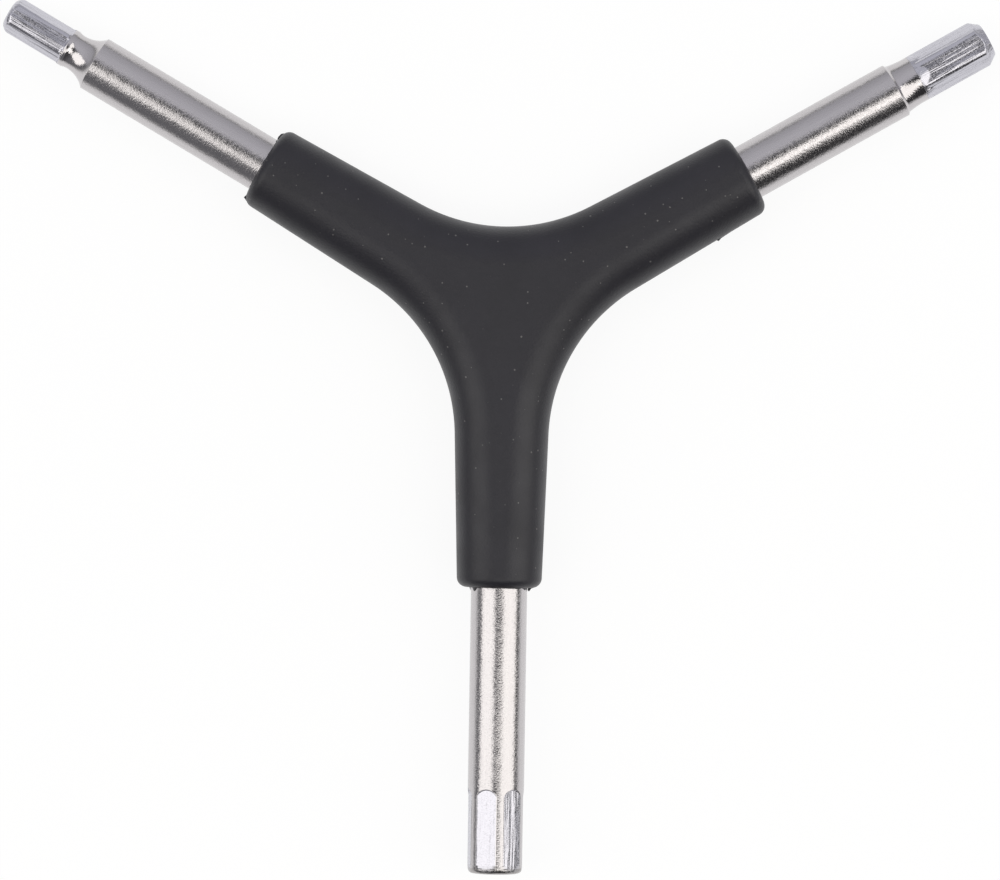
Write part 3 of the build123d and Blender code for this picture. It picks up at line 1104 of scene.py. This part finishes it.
def add_skin(mesh, heading, length, unevenness, tongues, seed):
    """A ragged tube of rubber round a bar, with tongues given by their place around and length."""
    chance = random.Random(seed)
    waves = [(count, chance.uniform(0, math.tau), chance.uniform(0.3, 1.0)) for count in (3, 5, 8, 13, 21)]
    rings = []
    for i in range(SKIN_POINTS):
        turn = math.tau * i / SKIN_POINTS
        ragged = sum(size * math.sin(count * turn + start) for count, start, size in waves) / len(waves)
        torn = sum(
            reach * math.exp(-(((math.degrees(turn) - at) / TONGUE_SPREAD) ** 2)) for at, reach in tongues
        )
        tip = GRIP_REACH + max(SHORTEST_SKIN, length + unevenness * ragged) + torn
        section = (
            (GRIP_REACH - SKIN_ROOT, SKIN_INSIDE),
            (GRIP_REACH - SKIN_ROOT, BORE_RADIUS + SKIN_THICKNESS),
            (GRIP_REACH, BORE_RADIUS + SKIN_THICKNESS),
            (tip, BORE_RADIUS + SKIN_THICKNESS / 3),
            (tip, SKIN_INSIDE),
        )
        places = [arm_place(heading, x, r * math.cos(turn), r * math.sin(turn)) for x, r in section]
        rings.append([mesh.verts.new(place) for place in places])
    for i, ring in enumerate(rings):
        following = rings[(i + 1) % SKIN_POINTS]
        for j in range(len(ring)):
            after = (j + 1) % len(ring)
            mesh.faces.new((ring[j], ring[after], following[after], following[j]))


def add_tab(mesh, heading, outline):
    """A thin plate at the height of the mould's parting line, from places along and left of the axis."""
    lower, upper = (
        [mesh.verts.new(arm_place(heading, x, side, up)) for x, side in outline]
        for up in (-TAB_THICKNESS / 2, TAB_THICKNESS / 2)
    )
    mesh.faces.new(lower)
    mesh.faces.new(upper)
    for i in range(len(outline)):
        after = (i + 1) % len(outline)
        mesh.faces.new((lower[i], lower[after], upper[after], upper[i]))


# %% Make the flash
TABS = (
    (150, ((31.9, -3.3), (32.45, -3.3), (32.5, -3.64), (32.38, -4.1), (32.15, -4.3), (31.95, -4.0))),
    (150, ((31.7, 3.3), (32.25, 3.3), (32.2, 3.95), (32.33, 4.4), (31.7, 4.68), (30.8, 4.95), (30.7, 4.5))),
    (270, ((31.9, -3.3), (32.62, -3.3), (32.26, -3.42), (32.06, -4.3), (31.5, -4.4))),
    (270, ((31.9, 3.3), (31.6, 4.3), (31.9, 4.5), (32.09, 4.3), (32.3, 3.7), (32.64, 3.46), (32.5, 3.3))),
    (30, ((25.3, -4.9), (25.36, -5.14), (25.5, -5.28), (25.9, -5.13), (26.5, -5.08), (27.2, -5.04))),
)
flash_mesh = bmesh.new()
add_skin(flash_mesh, 150, 0.08, 0.08, ((160, 0.15), (25, 0.05)), seed=4)
add_skin(flash_mesh, 30, 0.05, 0.04, (), seed=5)
add_skin(flash_mesh, 270, 0.06, 0.08, ((150, 0.38), (24, 0.2)), seed=6)
for heading, outline in TABS:
    add_tab(flash_mesh, heading, outline)
bmesh.ops.recalc_face_normals(flash_mesh, faces=flash_mesh.faces)
flash_data = bpy.data.meshes.new("rubber_grip_flash")
flash_mesh.to_mesh(flash_data)
flash_mesh.free()
flash_data.materials.append(moulded_rubber)
flash = bpy.data.objects.new("rubber_grip_flash", flash_data)
bpy.context.scene.collection.objects.link(flash)
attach(flash, "root")
report(flash)

# %% [markdown]
# ## Weld metal
#
# Inside the grip a weld bead fills each crotch between the bars. It is hidden, and its CAD solid
# has the right shape, so it only gets the dull grey of weld metal with its scale and ripples.

# %% Weld material
RIPPLE_SIZE = 0.5 * MM
RIPPLE_DEPTH = 0.05 * MM

weld_metal, tree = empty_material("mild_steel_weld_bead")
where = add_node(tree, "ShaderNodeTexCoord")
ripple = add_node(
    tree, "ShaderNodeTexNoise", {"Vector": where.outputs["Object"], "Scale": 1 / RIPPLE_SIZE, "Detail": 3.0}
)
bump = add_node(
    tree, "ShaderNodeBump", {"Height": ripple.outputs["Fac"], "Strength": 1.0, "Distance": RIPPLE_DEPTH}
)
scale = add_node(tree, "ShaderNodeValToRGB", {"Fac": ripple.outputs["Fac"]})
scale.color_ramp.elements[0].color = linear("#6B655F")
scale.color_ramp.elements[1].color = linear("#8F8A86")
bead = add_node(
    tree,
    "ShaderNodeBsdfPrincipled",
    {"Base Color": scale.outputs["Color"], "Metallic": 1.0, "Roughness": 0.55, "Normal": bump.outputs[0]},
)
add_node(tree, "ShaderNodeOutputMaterial", {"Surface": bead.outputs[0]})
for name in ("weld_seam_4_5", "weld_seam_4_6", "weld_seam_5_6"):
    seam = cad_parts[name]
    seam.data.materials.clear()
    seam.data.materials.append(weld_metal)
print("weld seams dressed")

# %% [markdown]
# ## Boxes of the tool and the CAD model
#
# Both boxes, the dressed tool's and the CAD model's, are printed side by side. The dressed
# tool has to stay inside the CAD box.

# %% Finish
scene_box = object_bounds()
for axis, low, high, cad_low, cad_high in zip("XYZ", *scene_box, *cad_box):
    scene_side = f"{low / MM:.3f} to {high / MM:.3f}"
    cad_side = f"{cad_low / MM:.3f} to {cad_high / MM:.3f}"
    print(f"{axis}: scene {scene_side} mm, CAD {cad_side} mm")
